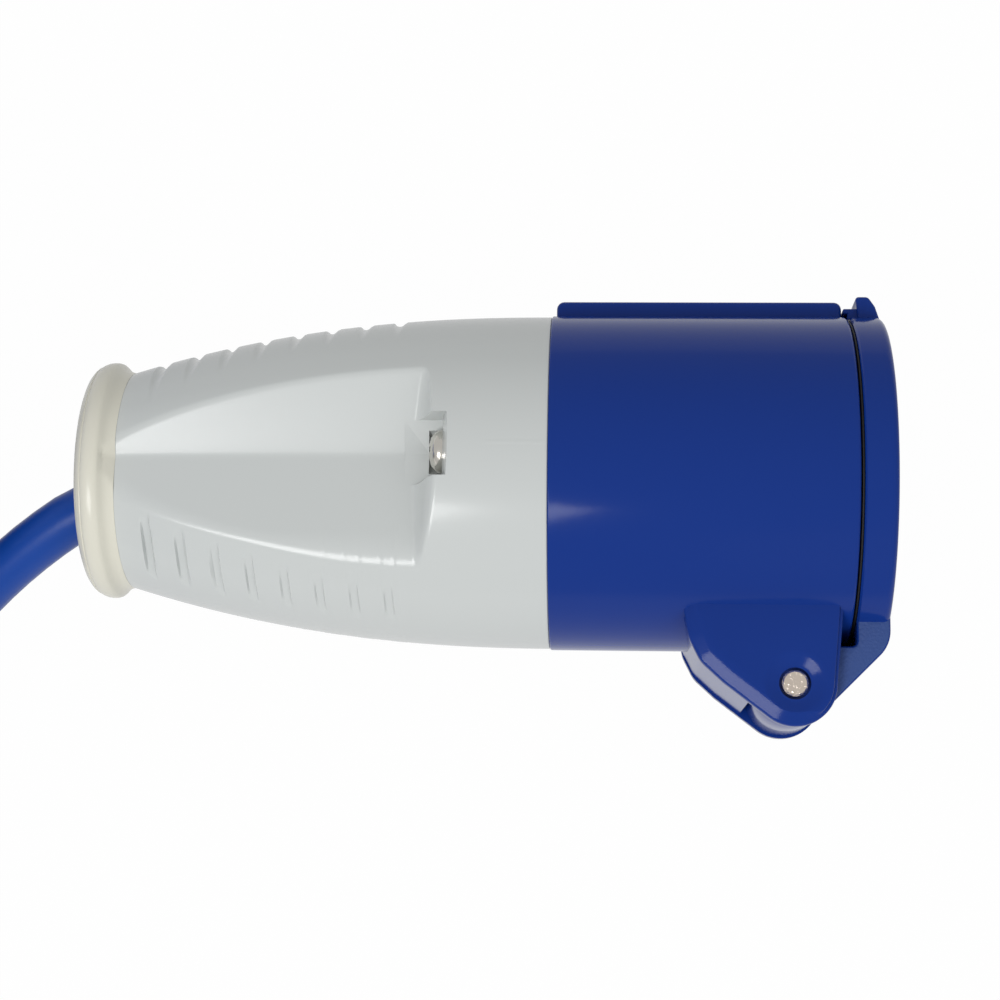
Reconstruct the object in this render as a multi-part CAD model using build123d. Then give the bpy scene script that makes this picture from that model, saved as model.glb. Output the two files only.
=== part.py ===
"""A 16 A shore power lead: a trailing coupler, its flexible cord and the plug at the far end.

Row frame, in millimetres: the coupler lies on its side on the floor (Z = 0). Its axis runs along
X with the hinged lid at +X, the key rib faces +Y and the lid's hinge faces -Y. The origin is the
middle of the coupler's footprint. The cord leaves the coupler's rear end, comes down to the floor
and is wound into a neat coil, and the plug at its far end lies on the coil.

Each connector is first made in its own frame: X along its axis, zero at the joint between the
housing (+X) and the handle (-X), Y towards the key and Z square to both.
"""
from build123d import *
from math import acos, atan2, ceil, cos, degrees, dist, pi, radians, sin, sqrt, tan
import os

# ---------------------------------------------------------------- housing and lid of the coupler
body_r = 27.2              # outside of the moulded housing
body_length = 47.1         # from the handle joint to the rim of the mouth
mouth_r = body_r - 4.2     # bore that takes the plug's collar
collar_depth = 38.0        # depth of that bore
floor_thick = 4.0          # wall at the bottom of the bore
key_rib_top = body_r + 2.2 # outside of the key rib, from the axis
key_rib_width = 10.0
key_slot_top = body_r - 0.6 # the keyway inside the rib
key_slot_width = 7.8
edge_round = 0.5           # moulded edges

spigot_r = body_r - 3.6    # the part of each housing that enters its handle
spigot_length = 5.0
spigot_bore_r = body_r - 6.2
seal_groove_depth = 0.9
seal_groove_width = 1.8
seal_groove_from_end = 1.6
fit_gap = 0.15             # loose fit between mouldings

lid_r = body_r - 0.1
lid_gap = 0.6              # between the rim and the closed lid
lid_thick = 5.9
lid_crown = 0.7            # how far the lid's middle stands proud of its edge
lid_skin = 2.4
lid_edge_round = 1.1
gasket_outer_r = mouth_r + 2.4
gasket_inner_r = mouth_r - 2.2
gasket_seat_depth = 2.3
gasket_rim_gap = 0.25      # between the gasket and the rim
catch_top = body_r + 2.8
catch_width = 12.0
catch_thick = 3.6
latch_top = body_r + 1.0
latch_length = 3.1

hinge_x = body_length - 9.2 # hinge pin, in the coupler's frame
hinge_y = -(body_r + 6.5)
pin_r = 2.0
pin_recess = 0.4
pin_recess_r = 2.5
lug_outer = 16.4           # outer faces of the hinge lugs, either side of the middle plane
lug_thick = 3.0
lug_end_r = 6.5
lug_heel = 10.9            # from the pin back to the lug's heel
lug_root_rear = 18.2       # from the pin back and forward to where the lug meets the housing
lug_root_front = 8.1
lug_round = 0.8
web_gap_x = hinge_x - 6.8   # where the web between the lugs stops
barrel_r = 6.1
barrel_half = 13.1
barrel_clearance = 0.06    # running clearance on the pin
arm_corner_round = 3.0
spring_wire_r = 0.6
spring_r = 3.4
spring_turns = 4
spring_pitch = 1.45
spring_room_r = 4.6
spring_room_half = 7.3
lid_open_deg = 110.0

# ---------------------------------------------------------------- contacts
carrier_r = body_r - 9.9
carrier_front = body_length - 4.1   # front face of the socket insert
carrier_rear = -4.5
carrier_flange_r = spigot_bore_r - 0.4
plug_carrier_front = 11.0
contact_circle_r = 9.0
line_pin_r = 2.5
earth_pin_r = 3.5
contact_clearance = 0.05
contact_wall = 0.9
contact_front = carrier_front - 2.0
contact_bore_length = 33.0
terminal_rear = -13.5
terminal_margin = 1.1      # terminal block outside the pin's radius
terminal_screw_r = 1.5
terminal_screw_length = 4.0
wire_hole_r = 1.6
wire_hole_depth = 6.5
pin_neck_step = 0.5        # a plug pin is this much thinner inside the insert
pin_face_gap = 0.3         # from the insert's face to the pin's shoulder

# ---------------------------------------------------------------- plug
collar_r = mouth_r - 0.7
collar_bore_r = 18.6
collar_front = 46.0
plug_pin_front = collar_front - 3.0
plug_base_length = 8.0
plug_base_taper = 3.0
plug_key_top = key_slot_top - 1.0
plug_key_width = 7.0
plug_key_front = collar_front - 2.5

# ---------------------------------------------------------------- handle, alike on both ends
handle_length = 68.4
handle_front_r = body_r - 0.2
handle_rear_r = 17.7
handle_bulge = 2.25        # power of the outline's fall towards the rear
handle_wall = 2.6
handle_cavity_r = body_r - 4.6
handle_turn = -3.0         # the coupler's handle sits this far round from its hinge
rear_wall_front = -handle_length + 14.5
rear_wall_rear = rear_wall_front - 1.5
rear_bore_r = 13.6
rear_hole_r = 6.5

scoop_end_x = -20.4        # foot of the scoop's end wall
scoop_floor_z = handle_front_r - 8.2   # valley of the scoop at its end wall
scoop_rise = 0.0465        # fall of the valley towards the rear
scoop_key_deg = 19.1       # slope of its facet towards the key
scoop_hinge_deg = 5.0      # slope of its wider facet towards the hinge
scoop_wall_deg = 20.0
scoop_fillet = 2.0
cut_top = body_r + 17.8     # top of the tools that cut the scoop and its notch

grip_count = 8
grip_pitch = 5.5
grip_first_x = -handle_length + 5.2
groove_depth = 0.8
groove_section_r = 1.3
groove_start_deg = (29.4, 49.5)   # from the middle of the flank, rearmost and foremost
slot_width = 1.5
slot_start_deg = (29.5, 50.8)
slot_end_deg = (66.5, 69.0)
grip_fade = 1.9            # power by which the grips shorten towards the front

screw_circle_r = body_r - 6.8   # body screws, parallel to the axis
screw_r = 1.75
screw_head_r = 3.35
screw_head_thick = 1.9
screw_length = 24.0
screw_seat_x = -16.2
screw_clearance = 0.15
screw_recess_width = 0.9
screw_recess_depth = 1.1
notch_width = 10.0         # way in to a screw head, above the scoop's floor
notch_lean = 6.4
counterbore_room = 0.4
boss_width = 9.0
boss_inner_z = screw_circle_r - 2.8
pillar_rear_x = -24.9
pillar_width = 11.0
pillar_inner_z = screw_circle_r - 5.9

# ---------------------------------------------------------------- cord entry and cord grip
ring_lip_r = 19.3
ring_length = 6.5
ring_spigot_r = 13.5
ring_spigot_length = 8.4
bell_r = 12.0
bell_neck_r = 8.2
bell_throat_r = 5.6
seal_front = rear_wall_rear
seal_rear = seal_front - 4.2

grip_rear = rear_wall_front + 0.6
grip_front = grip_rear + 6.9
grip_width = 24.8
grip_bottom = -9.5
grip_top = 6.5
grip_rail_width = 3.2
grip_rail_thick = 3.0
grip_split = 0.6
grip_screw_y = 9.0
grip_screw_r = 1.5
grip_screw_head_r = 2.8
grip_screw_head_thick = 2.0

cord_d = 8.8
cord_clearance = 0.1
sheath_end_x = -handle_length + 25.6
core_r = 1.4
core_lay_r = 2.3

# ---------------------------------------------------------------- the cord's route
coil_pitch = 9.25          # between turns, and between layers
coil_turns = 3             # turns in each layer
coil_layers = 4
coil_r = 64.0              # middle of the outermost turn
climb_room = 1.4           # how far a climbing half turn keeps off its neighbours
leave_room = 8.0           # how much flatter the coil's last arc is
tail_runs = (22.0, 35.0, 35.0, 35.0, 35.0, 32.0)
tail_turns = (22.5, 39.375, 39.375, 39.375, 39.375, 0.0)
tail_climb = (0.0, 0.15, 0.45, 0.78, 1.0, 1.0)    # share of the rise to the plug at each corner
plug_rest_gap = 0.8
lead_bend_x = -67.4        # corners of the free lead, from the coupler's handle joint
lead_fall = (-89.55, -13.8, -9.7)
lead_foot = (-110.95, -29.2)
lead_end = (-130.4, -44.6)

connector_rear = -(handle_length + ring_length)
lid_face_x = body_length + lid_gap + lid_thick
row_x = -(connector_rear + lid_face_x) / 2
row_y = -(catch_top + hinge_y - lug_end_r) / 2
row_z = body_r

collar_floor_x = body_length - collar_depth
floor_back_x = collar_floor_x - floor_thick
gauge_r = cord_d / 2
cord_rest_z = gauge_r + 0.1
coil_section_r = gauge_r * sqrt(2 * pi / (3 * sqrt(3)))   # six-sided, with a round cord's area
plug_axis_z = cord_rest_z + (coil_layers - 1) * coil_pitch + gauge_r + plug_rest_gap + body_r


# ================================================================ helpers
def turned(points):
    """A solid of revolution about X from its outline, given as (x, radius) pairs."""
    return revolve(make_face(Polyline(*points, close=True)), Axis.X)


def tube_x(radius, x0, x1, y=0.0, z=0.0):
    """A cylinder along X from x0 to x1."""
    return Pos((x0 + x1) / 2, y, z) * Cylinder(radius, x1 - x0, rotation=(0, 90, 0))


def block(x0, x1, y0, y1, z0, z1):
    """A box between two corners."""
    return Pos((x0 + x1) / 2, (y0 + y1) / 2, (z0 + z1) / 2) * Box(x1 - x0, y1 - y0, z1 - z0)


def both_sides(shape):
    """A shape and its half-turn copy about X, as on the two flanks of a handle."""
    return [shape, Rot(180, 0, 0) * shape]


def group(solids):
    """Separate solids that share one node."""
    return solids[0] + solids[1:]


def tangent_point(point, centre, radius, side):
    """Where a line from point touches a circle; side is +1 or -1."""
    away = atan2(point[1] - centre[1], point[0] - centre[0])
    swing = acos(radius / dist(point, centre))
    angle = away + side * swing
    return centre[0] + radius * cos(angle), centre[1] + radius * sin(angle)


# ================================================================ shared parts of both housings
def housing_rear():
    """Spigot with its seal groove, and the two bosses for the body screws."""
    groove_rear = -spigot_length + seal_groove_from_end
    groove_r = spigot_r - seal_groove_depth
    spigot = turned([
        (floor_back_x, carrier_r + fit_gap), (floor_back_x, spigot_bore_r),
        (-spigot_length, spigot_bore_r), (-spigot_length, spigot_r),
        (groove_rear, spigot_r), (groove_rear, groove_r),
        (groove_rear + seal_groove_width, groove_r), (groove_rear + seal_groove_width, spigot_r),
        (0, spigot_r), (0, body_r), (collar_floor_x, body_r), (collar_floor_x, carrier_r + fit_gap),
    ])
    return spigot


def screw_boss():
    """Boss that a body screw bites into, inside the spigot."""
    boss = block(-spigot_length, floor_back_x, -boss_width / 2, boss_width / 2,
                 boss_inner_z, spigot_r)
    inside = tube_x(spigot_bore_r + 0.5, -spigot_length, floor_back_x)
    return boss & inside


def screw_pilot():
    return tube_x(screw_r + 0.01, -spigot_length - 1, screw_seat_x + screw_length + 0.5,
                  z=screw_circle_r)


def with_bosses(housing, turn):
    bosses = [Rot(turn, 0, 0) * b for b in both_sides(screw_boss())]
    pilots = [Rot(turn, 0, 0) * b for b in both_sides(screw_pilot())]
    return housing + bosses - pilots


# ================================================================ coupler housing
def lug_outline():
    """Side view of a hinge lug, from inside the housing's wall down to its rounded end."""
    rear = (hinge_x - lug_heel, hinge_y + 0.1)
    low = tangent_point(rear, (hinge_x, hinge_y), lug_end_r, 1)
    inside_y = 8.2 - body_r
    front = (hinge_x + lug_root_front, inside_y)
    high = tangent_point(front, (hinge_x, hinge_y), lug_end_r, -1)
    plate = make_face(Polyline(
        (hinge_x - lug_root_rear, inside_y), (hinge_x - 16.0, -body_r - 1.0), rear, low,
        (hinge_x, hinge_y), high, front, close=True))
    return plate + Pos(hinge_x, hinge_y) * Circle(lug_end_r)


def hinge_lug():
    """One lug at +Z, its outer rim rounded."""
    lug = extrude(Pos(0, 0, lug_outer - lug_thick) * lug_outline(), lug_thick)
    rim = lug.faces().sort_by(Axis.Z)[-1].edges()
    rim = [e for e in rim if e.center().Y < 7.2 - body_r]
    lug = fillet(rim, lug_round)
    recess = Pos(hinge_x, hinge_y, lug_outer) * Cylinder(pin_recess_r, 2 * pin_recess)
    return lug - recess


def coupler_housing():
    barrel = turned([
        (collar_floor_x - 0.1, mouth_r), (body_length, mouth_r),
        (body_length, body_r - edge_round), (body_length - edge_round, body_r),
        (collar_floor_x - 0.1, body_r),
    ])
    rib = block(0.6, body_length - 0.3, -key_rib_width / 2, key_rib_width / 2, mouth_r + 1.5,
                key_rib_top)
    rib = fillet(rib.edges().filter_by(Axis.X).group_by(Axis.Z)[-1], 1.0)
    rib = fillet(rib.edges().filter_by(Axis.Y).group_by(Axis.Z)[-1], 0.8)
    rib = Rot(-90, 0, 0) * rib
    lug = hinge_lug()
    web = extrude(Pos(0, 0, -(lug_outer - lug_thick)) * lug_outline(), 2 * (lug_outer - lug_thick))
    web = Pos(0, 0.5, 0) * web & block(0, web_gap_x, 2 * hinge_y, 0, -2 * lug_outer, 2 * lug_outer)
    key_slot = block(collar_floor_x, body_length + 1, 0, key_slot_top,
                     -key_slot_width / 2, key_slot_width / 2)
    pin_hole = Pos(hinge_x, hinge_y, 0) * Cylinder(pin_r + 0.01, 3 * lug_outer)
    outside = [rib, lug, mirror(lug, Plane.XY), web]
    outside = [piece - tube_x(body_r - 2.0, -10, 2 * body_length) for piece in outside]
    housing = housing_rear() + barrel + outside - key_slot - pin_hole
    return with_bosses(housing, handle_turn)


# ================================================================ lid, hinge pin and spring
def lid_outline():
    """Side view of the arm: from the lid's disc down to the barrel round the pin."""
    inner_x = body_length + lid_gap
    outer_x = inner_x + lid_thick - lid_crown
    reach = barrel_r / sqrt(2)
    corner_y = outer_x - (hinge_x + reach) + (hinge_y - reach)
    arm = make_face(Polyline(
        (hinge_x, hinge_y + barrel_r), (inner_x, hinge_y + barrel_r), (inner_x, 7.1 - lid_r),
        (outer_x, 7.1 - lid_r), (outer_x, corner_y), (hinge_x + reach, hinge_y - reach),
        (hinge_x, hinge_y), close=True))
    corner = arm.vertices().sort_by(Axis.Y)
    corner = [v for v in corner if abs(v.Y - corner_y) < 0.01]
    arm = fillet(corner, arm_corner_round)
    return arm + Pos(hinge_x, hinge_y) * Circle(barrel_r)


def coupler_lid():
    inner_x = body_length + lid_gap
    edge_x = inner_x + lid_thick - lid_crown
    skin_x = inner_x + lid_thick - lid_skin - lid_crown
    profile = Polyline(
        (lid_face_x, 0), (skin_x, 0), (skin_x, gasket_inner_r - 1.2),
        (inner_x, gasket_inner_r - 1.2), (inner_x, gasket_inner_r - 0.05),
        (inner_x + gasket_seat_depth, gasket_inner_r - 0.05),
        (inner_x + gasket_seat_depth, gasket_outer_r + 0.05), (inner_x, gasket_outer_r + 0.05),
        (inner_x, lid_r), (edge_x - lid_edge_round, lid_r))
    shoulder = TangentArc((edge_x - lid_edge_round, lid_r), (edge_x, lid_r - lid_edge_round),
                          tangent=(1, 0))
    crown = ThreePointArc((edge_x, lid_r - lid_edge_round),
                          (edge_x + 0.75 * lid_crown, (lid_r - lid_edge_round) / 2),
                          (lid_face_x, 0))
    disc = revolve(make_face([*profile.edges(), shoulder, crown]), Axis.X)
    arm = extrude(Pos(0, 0, -barrel_half) * lid_outline(), 2 * barrel_half)
    seat = tube_x(gasket_outer_r + 0.05, inner_x - 1, inner_x + gasket_seat_depth)
    room = Pos(hinge_x, hinge_y, 0) * Cylinder(spring_room_r, 2 * spring_room_half)
    way_out = block(hinge_x - 20, hinge_x + 1.0, hinge_y - 0.5, hinge_y + 10,
                    -spring_room_half, spring_room_half)
    hole = Pos(hinge_x, hinge_y, 0) * Cylinder(pin_r + barrel_clearance, 4 * barrel_half)
    latch = block(inner_x, inner_x + latch_length, lid_r - 3.1, latch_top,
                  -key_rib_width / 2, key_rib_width / 2)
    return disc + (arm - room - way_out - hole - seat) + (latch + catch_tab() - seat)


def catch_tab():
    """Finger catch on the lid's rim, hooked forward at its tip."""
    front = body_length + lid_gap + lid_thick - lid_crown
    side = make_face([
        *Polyline((front - 0.4, lid_r - 3.1), (front - catch_thick, lid_r - 3.1),
                  (front - catch_thick, lid_r - 0.1),
                  (front - catch_thick - 0.4, catch_top), (front - 1.9, catch_top)).edges(),
        ThreePointArc((front - 1.9, catch_top), (front - 0.8, catch_top - 1.5),
                      (front - 0.4, lid_r - 3.1)),
    ])
    return extrude(Pos(0, 0, -catch_width / 2) * side, catch_width)


def lid_gasket():
    x0 = body_length + gasket_rim_gap
    x1 = body_length + lid_gap + gasket_seat_depth
    bead = (x0 + 0.9, gasket_outer_r)
    return turned([(x0, gasket_inner_r + 1.0), (x0, gasket_outer_r - 1.0), bead,
                   (x1, gasket_outer_r), (x1, gasket_inner_r), (x0 + 0.9, gasket_inner_r)])


def hinge_pin():
    length = 2 * (lug_outer - pin_recess)
    pin = Pos(hinge_x, hinge_y, 0) * Cylinder(pin_r, length)
    return chamfer(pin.edges().filter_by(GeomType.CIRCLE), 0.25)


def climbing_half_turn(start, across, heading, rise):
    """Two quarter arcs that go half round from start to start + across and climb by rise."""
    end = start + across + Vector(0, 0, rise)
    reach = sqrt((across.length / 2) ** 2 + (rise / 2) ** 2)
    top = start + across / 2 + heading * reach + Vector(0, 0, rise / 2)
    first = TangentArc(start, top, tangent=heading)
    second = TangentArc(top, end, tangent=first % 1)
    return [first, second], end


def lid_spring():
    """Torsion spring round the pin: one leg on the housing, the other in the lid's arm."""
    height = spring_turns * spring_pitch
    point = Vector(-spring_r, 0, -height / 2)
    heading = Vector(0, 1, 0)
    leg = Line(point - heading * 2.0, point)
    edges = [leg]
    for turn in range(2 * spring_turns):
        across = Vector(2 * spring_r if turn % 2 == 0 else -2 * spring_r, 0, 0)
        arcs, point = climbing_half_turn(point, across, heading, spring_pitch / 2)
        edges += arcs
        heading = -heading
    edges.append(Line(point, point + heading * 4.6))
    path = Wire(edges)
    section = Plane(path @ 0, z_dir=path % 0) * RegularPolygon(spring_wire_r, 6)
    return Pos(hinge_x, hinge_y, 0) * sweep(section, path)


# ================================================================ inserts, contacts and terminals
def poles(hand):
    """Each pole's name, pin radius and angle round the axis from the key, where earth stands.

    hand is 1 for the coupler and -1 for the plug, whose face mirrors it.
    """
    return (("line", line_pin_r, -120.0 * hand), ("neutral", line_pin_r, 120.0 * hand),
            ("earth", earth_pin_r, 0.0))


def at_pole(shape, angle):
    """Moves a shape made on the axis out to a pole; its +Y then points away from the axis."""
    return Rot(angle, 0, 0) * Pos(0, contact_circle_r, 0) * shape


def insert(front_x):
    """Body of an insulating insert, and the flange that clamps it, notched for the screw bosses."""
    body = tube_x(carrier_r, carrier_rear, front_x)
    body = chamfer(body.edges().filter_by(GeomType.CIRCLE).sort_by(Axis.X)[-1], 0.8)
    flange = tube_x(carrier_flange_r, floor_back_x - 4.0, floor_back_x)
    notch = block(-20, 20, -boss_width / 2 - 0.3, boss_width / 2 + 0.3, boss_inner_z - 0.2, 40)
    return body, flange - both_sides(notch)


def cord_grip_base():
    """Two rails behind the insert and the saddle that the cord lies in."""
    half = grip_width / 2
    middle = half - grip_rail_width / 2
    length = carrier_rear - grip_rear
    rail = Box(length, grip_rail_width, grip_rail_thick)
    rails = [Pos(grip_rear + length / 2, s * middle, grip_bottom + grip_rail_thick / 2) * rail
             for s in (-1, 1)]
    saddle = block(grip_rear, grip_front, -half, half, grip_bottom, -grip_split)
    return saddle + rails


def cord_trough():
    return tube_x(gauge_r + cord_clearance, grip_rear - 1, grip_front + 1)


def grip_screw_holes(radius):
    return [Pos((grip_rear + grip_front) / 2, s * grip_screw_y, 0) * Cylinder(radius, 2 * body_r)
            for s in (-1, 1)]


def contact_carrier(front_x, turn, hand, sleeved):
    """Insert with a bore for each pole: wide for a socket, and just a pin's neck wide for a pin."""
    body, flange = insert(front_x)
    carrier = body + Rot(turn, 0, 0) * flange + cord_grip_base() - cord_trough()
    carrier -= grip_screw_holes(grip_screw_r + 0.01)
    for name, pin, angle in poles(hand):
        bore = pin + (contact_wall + contact_clearance if sleeved else -pin_neck_step) + 0.02
        carrier -= at_pole(tube_x(bore, carrier_rear - 1, contact_front if sleeved else front_x + 1),
                           angle)
        if sleeved:
            carrier -= at_pole(tube_x(pin + 0.45, contact_front - 1, front_x + 1), angle)
    return carrier


def terminal_block(pin, shank):
    """Terminal behind an insert, with its wire hole and the hole of its clamping screw."""
    block_r = pin + terminal_margin
    body = tube_x(block_r, terminal_rear, carrier_rear) + shank
    body -= tube_x(wire_hole_r, terminal_rear - 1, terminal_rear + wire_hole_depth)
    screw_x = terminal_rear + 4.0
    hole = Pos(screw_x, block_r, 0) * Cylinder(terminal_screw_r + 0.01, 2 * block_r,
                                               rotation=(90, 0, 0))
    return body - hole


def socket_contact(pin, angle):
    shank = tube_x(pin + contact_clearance + contact_wall, carrier_rear - 0.5, contact_front)
    shank -= tube_x(pin + contact_clearance, contact_front - contact_bore_length, contact_front + 1)
    return at_pole(terminal_block(pin, shank), angle)


def plug_pin(pin, angle):
    """Pin that stands on the insert's face, with a narrower neck through the insert."""
    shank = tube_x(pin, plug_carrier_front + pin_face_gap, plug_pin_front)
    tip = shank.edges().filter_by(GeomType.CIRCLE).sort_by(Axis.X)[-1]
    neck = tube_x(pin - pin_neck_step, carrier_rear - 0.5, plug_carrier_front + 2)
    return at_pole(terminal_block(pin, fillet(tip, pin - 1.2) + neck), angle)


def terminal_screw(pin, angle):
    block_r = pin + terminal_margin
    top = block_r + 0.5
    screw = Pos(terminal_rear + 4.0, top - terminal_screw_length / 2, 0) * Cylinder(
        terminal_screw_r, min(terminal_screw_length, block_r), rotation=(90, 0, 0))
    slot = block(terminal_rear, terminal_rear + 8, top - 0.7, top + 1, -0.25, 0.25)
    return at_pole(screw - slot, angle)


# ================================================================ plug housing
def plug_housing():
    base_front = plug_base_length + plug_base_taper
    shell = turned([
        (collar_floor_x - 0.1, collar_bore_r), (collar_front, collar_bore_r),
        (collar_front, collar_r), (base_front, collar_r), (base_front, collar_r + 1.4),
        (plug_base_length, body_r), (collar_floor_x - 0.1, body_r),
    ])
    lip = turned([(plug_base_length, carrier_r + fit_gap), (plug_base_length, body_r + 1),
                  (collar_floor_x, body_r + 1), (collar_floor_x, carrier_r + fit_gap)])
    key = block(base_front - 0.5, plug_key_front, collar_r - 1.0, plug_key_top,
                -plug_key_width / 2, plug_key_width / 2)
    rear = housing_rear() & tube_x(body_r, -10, collar_floor_x)
    return with_bosses(rear + shell + key, 0)


# ================================================================ handle
def handle_r(x):
    """Outside radius of a handle at x, fullest at the joint with the housing."""
    fall = (handle_front_r - handle_rear_r) * (-x / handle_length) ** handle_bulge
    return handle_front_r - fall


def scoop_floor(x):
    return scoop_floor_z + scoop_rise * (x - scoop_end_x)


def over_facets(side, grow):
    """Space in the side view's outline that stays above both of the scoop's facets."""
    wedge = extrude(make_face(Plane.XZ * side), 40, both=True)
    valley = Axis((scoop_end_x, 0, scoop_floor(scoop_end_x) - grow), (1, 0, scoop_rise))
    return wedge.rotate(valley, scoop_key_deg) & wedge.rotate(valley, -scoop_hinge_deg)


def scoop(grow):
    """Tool for both dished flanks: two facets that fall to a valley, and a steep end wall."""
    far_x = -handle_length - 20
    end_x = scoop_end_x + grow
    lean = (cut_top - scoop_floor(end_x)) * tan(radians(scoop_wall_deg))
    side = Polyline((far_x, scoop_floor(far_x) - grow), (end_x, scoop_floor(end_x) - grow),
                    (end_x + lean, cut_top), (far_x, cut_top), close=True)
    tool = over_facets(side, grow)
    foot = [e for e in tool.edges() if e.center().X > end_x - 1.0
            and e.center().Z < handle_front_r + 8 and e.bounding_box().size.Y > 5.0]
    tool = fillet(foot, scoop_fillet)
    return [tool, mirror(tool, Plane.XY)]


def handle_cavity():
    """Room for the terminals and the cord grip, with the scoops and screw pillars kept solid."""
    room = turned([
        (rear_wall_front, 0), (rear_wall_front, handle_r(rear_wall_front) - handle_wall),
        (-38.0, handle_r(-38.0) - handle_wall), (-26.0, handle_cavity_r),
        (-spigot_length - 0.2, handle_cavity_r), (-spigot_length - 0.2, spigot_r + fit_gap),
        (1.0, spigot_r + fit_gap), (1.0, 0)])
    pillar = block(pillar_rear_x, -spigot_length - 0.2, -pillar_width / 2,
                   pillar_width / 2, pillar_inner_z, 40)
    return room - scoop(handle_wall) - both_sides(pillar)


def grip_angle(limits, k):
    """Where the k-th groove or slot ends: the rear ones change fast and the front ones slowly."""
    return limits[1] + (limits[0] - limits[1]) * (1 - k / (grip_count - 1)) ** grip_fade


def grip_grooves():
    """Grooves over the key side, deepest at the top and running out on both flanks."""
    cuts = []
    for k in range(grip_count):
        x = grip_first_x + k * grip_pitch
        offset = groove_depth / (1 - sin(radians(grip_angle(groove_start_deg, k))))
        ring_r = handle_r(x) - groove_depth + groove_section_r + offset
        cuts.append(Pos(x, -offset, 0) * Torus(ring_r, groove_section_r, rotation=(0, 90, 0)))
    return cuts


def grip_slots():
    """Straight slots on both flanks of the hinge side, shorter towards the front."""
    cuts = []
    for k in range(grip_count):
        x = grip_first_x + k * grip_pitch
        start, end = grip_angle(slot_start_deg, k), grip_angle(slot_end_deg, k)
        bottom = handle_r(x) * cos(radians((end - start) / 2))
        cut = block(x - slot_width / 2, x + slot_width / 2, -9, 9, bottom, bottom + 6)
        middle = (start + end) / 2
        cuts += [Rot(middle, 0, 0) * cut, Rot(180 - middle, 0, 0) * cut]
    return cuts


def screw_pocket():
    """Notch from the scoop to a screw head, with the head's counterbore and the screw's hole."""
    rear_x = scoop_end_x - 2.0
    side = Polyline((rear_x, scoop_floor(rear_x)), (screw_seat_x, scoop_floor(screw_seat_x)),
                    (screw_seat_x, screw_circle_r + screw_head_r),
                    (screw_seat_x + notch_lean, cut_top), (rear_x, cut_top), close=True)
    notch = over_facets(side, 0) & block(rear_x - 9, 9, -notch_width / 2, notch_width / 2,
                                         0, 2 * cut_top)
    head_x = screw_seat_x - screw_head_thick - counterbore_room
    counterbore = tube_x(screw_head_r + counterbore_room, head_x, screw_seat_x, z=screw_circle_r)
    hole = tube_x(screw_r + screw_clearance, screw_seat_x - 1, 1, z=screw_circle_r)
    return notch + counterbore + hole


def handle():
    stations = [-handle_length * s for s in (1, 0.8, 0.6, 0.4, 0.2, 0)]
    outline = Spline(*[(x, handle_r(x)) for x in stations])
    rest = Polyline((0, handle_front_r), (0, 0), (-handle_length, 0), (-handle_length, handle_rear_r))
    outer = revolve(make_face([outline, *rest.edges()]), Axis.X)
    rear_bore = tube_x(rear_bore_r, -handle_length - 1, rear_wall_rear)
    cord_hole = tube_x(rear_hole_r, -handle_length, rear_wall_front + 1)
    shell = outer - handle_cavity() - rear_bore - cord_hole
    shell -= scoop(0)
    pocket = screw_pocket()
    shell -= [pocket, mirror(pocket, Plane.XY)]
    shell -= grip_grooves()
    shell -= grip_slots()
    return shell


def body_screw():
    """Pan-head screw with a cross recess, its head towards the rear."""
    head_x = screw_seat_x - screw_head_thick
    head = tube_x(screw_head_r, head_x, screw_seat_x)
    rim = head.edges().filter_by(GeomType.CIRCLE).sort_by(Axis.X)[0]
    head = fillet(rim, 1.2)
    half = screw_recess_width / 2
    cross = block(head_x - 1, head_x + screw_recess_depth, -2, 2, -half, half)
    cross += block(head_x - 1, head_x + screw_recess_depth, -half, half, -2, 2)
    shank = tube_x(screw_r, screw_seat_x, screw_seat_x + screw_length)
    return Pos(0, 0, screw_circle_r) * (head + shank - cross)


def body_seal():
    rear = -spigot_length + seal_groove_from_end
    inner = spigot_r - seal_groove_depth
    outer = spigot_r + fit_gap - 0.02
    return turned([(rear + 0.05, inner + 0.02), (rear + 0.05, outer),
                   (rear + seal_groove_width - 0.05, outer),
                   (rear + seal_groove_width - 0.05, inner + 0.02)])


# ================================================================ cord entry
def entry_ring():
    """Flared entry bush: a lip outside, a spigot in the handle and a bell for the cord."""
    neck_x = -handle_length
    face_x = neck_x - ring_length
    front_x = neck_x + ring_spigot_length
    flare = ThreePointArc((neck_x, handle_rear_r), (neck_x - 1.5, handle_rear_r + 0.45),
                          (neck_x - 2.4, ring_lip_r - 0.1))
    crest = ThreePointArc((neck_x - 2.4, ring_lip_r - 0.1), (neck_x - 4.6, ring_lip_r - 0.25),
                          (face_x, ring_lip_r - 1.9))
    bell = ThreePointArc((face_x, bell_r), (neck_x, bell_neck_r), (front_x, bell_throat_r))
    rest = Polyline((front_x, bell_throat_r), (front_x, ring_spigot_r), (neck_x, ring_spigot_r),
                    (neck_x, handle_rear_r))
    face_line = Line((face_x, ring_lip_r - 1.9), (face_x, bell_r))
    return revolve(make_face([flare, crest, face_line, bell, *rest.edges()]), Axis.X)


def cord_seal():
    """Rubber bush squeezed between the entry ring and the handle's rear wall."""
    bore = gauge_r + 0.3
    return turned([(seal_rear, bore + 0.8), (seal_rear, rear_bore_r - 0.1),
                   (seal_front, rear_bore_r - 0.1), (seal_front, bore + 0.8),
                   (seal_front - 1.2, bore), (seal_rear + 1.2, bore)])


def grip_bar():
    half = grip_width / 2
    bar = block(grip_rear, grip_front, -half, half, grip_split, grip_top)
    bar = fillet(bar.edges().filter_by(Axis.X).group_by(Axis.Z)[-1], 2.0)
    return bar - cord_trough() - grip_screw_holes(grip_screw_r + 0.2)


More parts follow.
